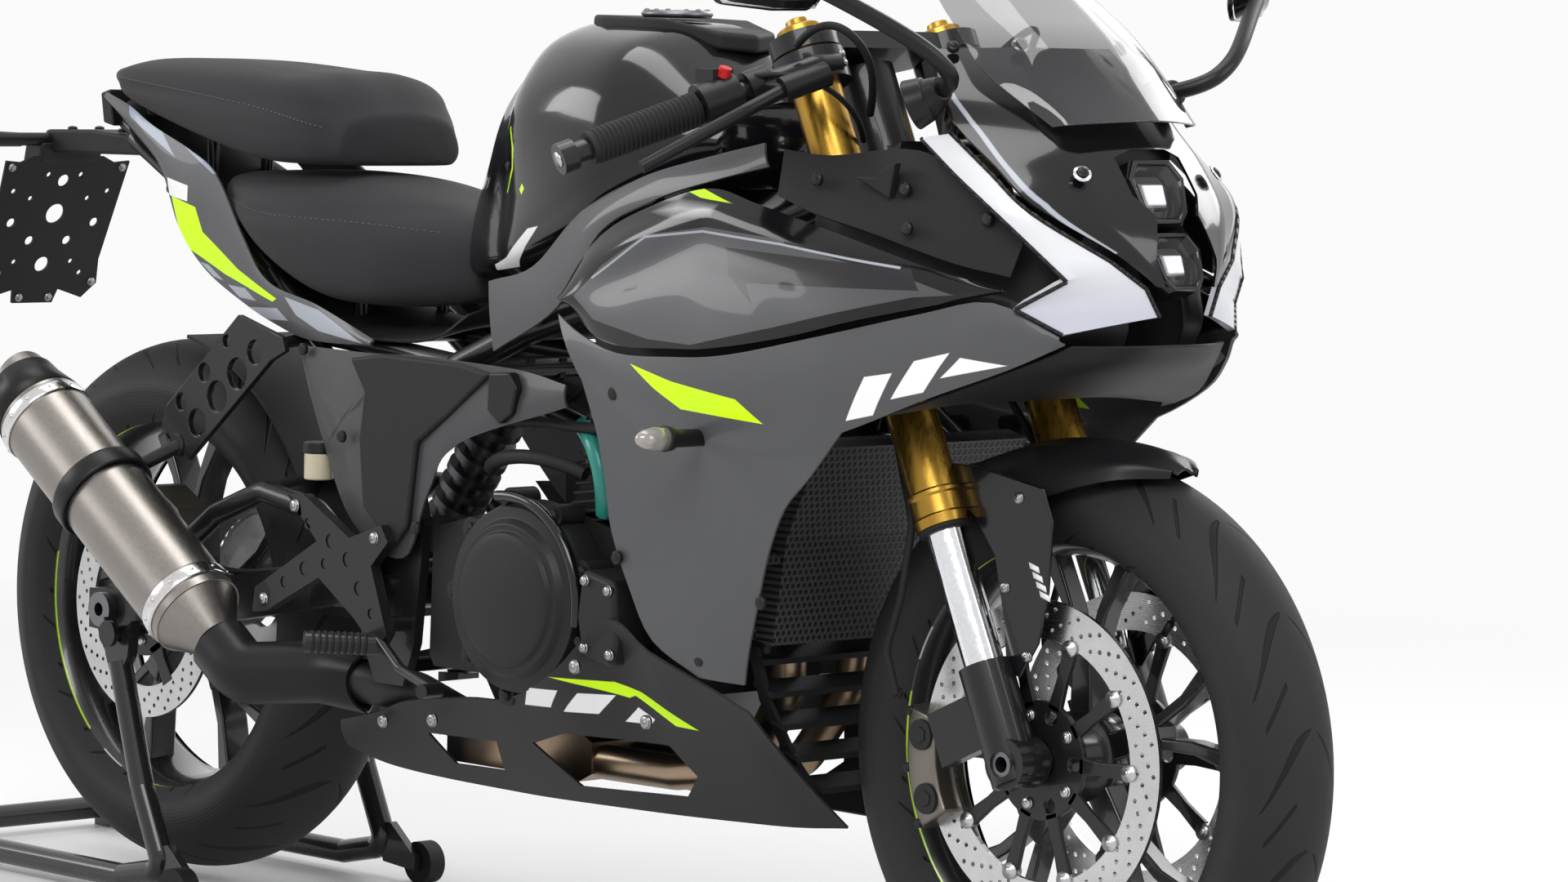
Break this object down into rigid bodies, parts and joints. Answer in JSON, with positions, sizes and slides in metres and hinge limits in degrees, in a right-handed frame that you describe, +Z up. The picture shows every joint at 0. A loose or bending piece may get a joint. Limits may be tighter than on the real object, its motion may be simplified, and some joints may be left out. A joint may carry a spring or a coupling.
{
  "type": "sport motorcycle on a paddock stand",
  "caption": "Fully faired two-wheel sport motorcycle held upright on a rear paddock stand, with steering, wheels, side stand and stand rollers that move.",
  "frame": {"origin": "on the floor, under the middle of the overall box", "axes": "+X forward, +Y to the rider's left, +Z up"},
  "size_m": [2.156, 0.808, 1.128],
  "materials": {
    "black_metal": "satin",
    "bronze_steel": "satin",
    "cast_grey": "satin",
    "clear_screen": "gloss",
    "disc_steel": "brushed",
    "gloss_black": "gloss",
    "gold_anodised": "satin",
    "hard_chrome": "polished",
    "lamp_amber": "gloss",
    "lamp_red": "gloss",
    "lamp_white": "gloss",
    "matte_black": "matte",
    "rubber": "matte",
    "satin_grey": "satin",
    "seat_vinyl": "matte",
    "steel": "satin",
    "titanium_grey": "brushed",
    "tyre": "matte",
    "wheel_black": "satin"
  },
  "bodies": {
    "bike": {"belly_pan": "matte_black", "chain": "steel", "engine_block": "black_metal", "engine_covers": "black_metal", "exhaust_headers": "bronze_steel", "exhaust_shield": "matte_black", "frame": "black_metal", "frame_covers": "matte_black", "fuel_tank": "gloss_black", "headlamp_housing": "matte_black", "headlamp_lenses": "lamp_white", "indicators": "lamp_amber", "inner_panels": "matte_black", "instrument": "gloss_black", "mirrors": "black_metal", "muffler": "titanium_grey", "muffler_hanger": "black_metal", "nose_cowl": "gloss_black", "paddock_stand": "black_metal", "passenger_seat": "seat_vinyl", "plate_holder": "matte_black", "radiator": "black_metal", "radiator_grille": "matte_black", "rear_axle": "steel", "rear_caliper": "cast_grey", "rear_fender": "matte_black", "rear_shock": "black_metal", "rearsets": "black_metal", "rider_seat": "seat_vinyl", "running_lights": "lamp_white", "side_covers": "satin_grey", "side_fairings": "satin_grey", "swingarm": "black_metal", "tail_cowl": "satin_grey", "tail_lamp": "lamp_red", "upper_panels": "satin_grey", "windscreen": "clear_screen"},
    "steering": {"fork_tubes_upper": "gold_anodised", "fork_tubes_lower": "hard_chrome", "fork_feet": "black_metal", "front_axle": "steel", "triple_clamps": "black_metal", "clip_on_bars": "black_metal", "grips": "rubber", "hand_controls": "matte_black", "front_fender": "gloss_black", "front_calipers": "cast_grey", "front_brake_hoses": "rubber"},
    "front_wheel": {"front_tyre": "tyre", "front_wheel_rim": "wheel_black", "front_brake_discs": "disc_steel"},
    "rear_wheel": {"rear_tyre": "tyre", "rear_wheel_rim": "wheel_black", "rear_brake_disc": "disc_steel", "rear_sprocket": "steel"},
    "side_stand": {"side_stand": "black_metal"},
    "stand_roller_left": {"stand_roller_left": "rubber"},
    "stand_roller_right": {"stand_roller_right": "rubber"}
  },
  "joints": [
    {"name": "steering", "type": "hinge", "parent": "bike", "child": "steering", "pos_m": [0.73928, 0, 0.3], "axis": [-0.4147, 0, 0.91], "range_deg": [-27, 27]},
    {"name": "front_wheel_spin", "type": "hinge", "parent": "steering", "child": "front_wheel", "pos_m": [0.778, 0, 0.3], "axis": [0, 1, 0], "continuous": true},
    {"name": "rear_wheel_spin", "type": "hinge", "parent": "bike", "child": "rear_wheel", "pos_m": [-0.658, 0, 0.327], "axis": [0, 1, 0], "continuous": true},
    {"name": "side_stand_fold", "type": "hinge", "parent": "bike", "child": "side_stand", "pos_m": [-0.128, 0.15985, 0.31521], "axis": [0, -0.9703, -0.2419], "range_deg": [0, 88]},
    {"name": "stand_roller_left_spin", "type": "hinge", "parent": "bike", "child": "stand_roller_left", "pos_m": [-0.462, 0.182, 0.025], "axis": [0, 1, 0], "continuous": true},
    {"name": "stand_roller_right_spin", "type": "hinge", "parent": "bike", "child": "stand_roller_right", "pos_m": [-0.462, -0.182, 0.025], "axis": [0, 1, 0], "continuous": true}
  ]
}
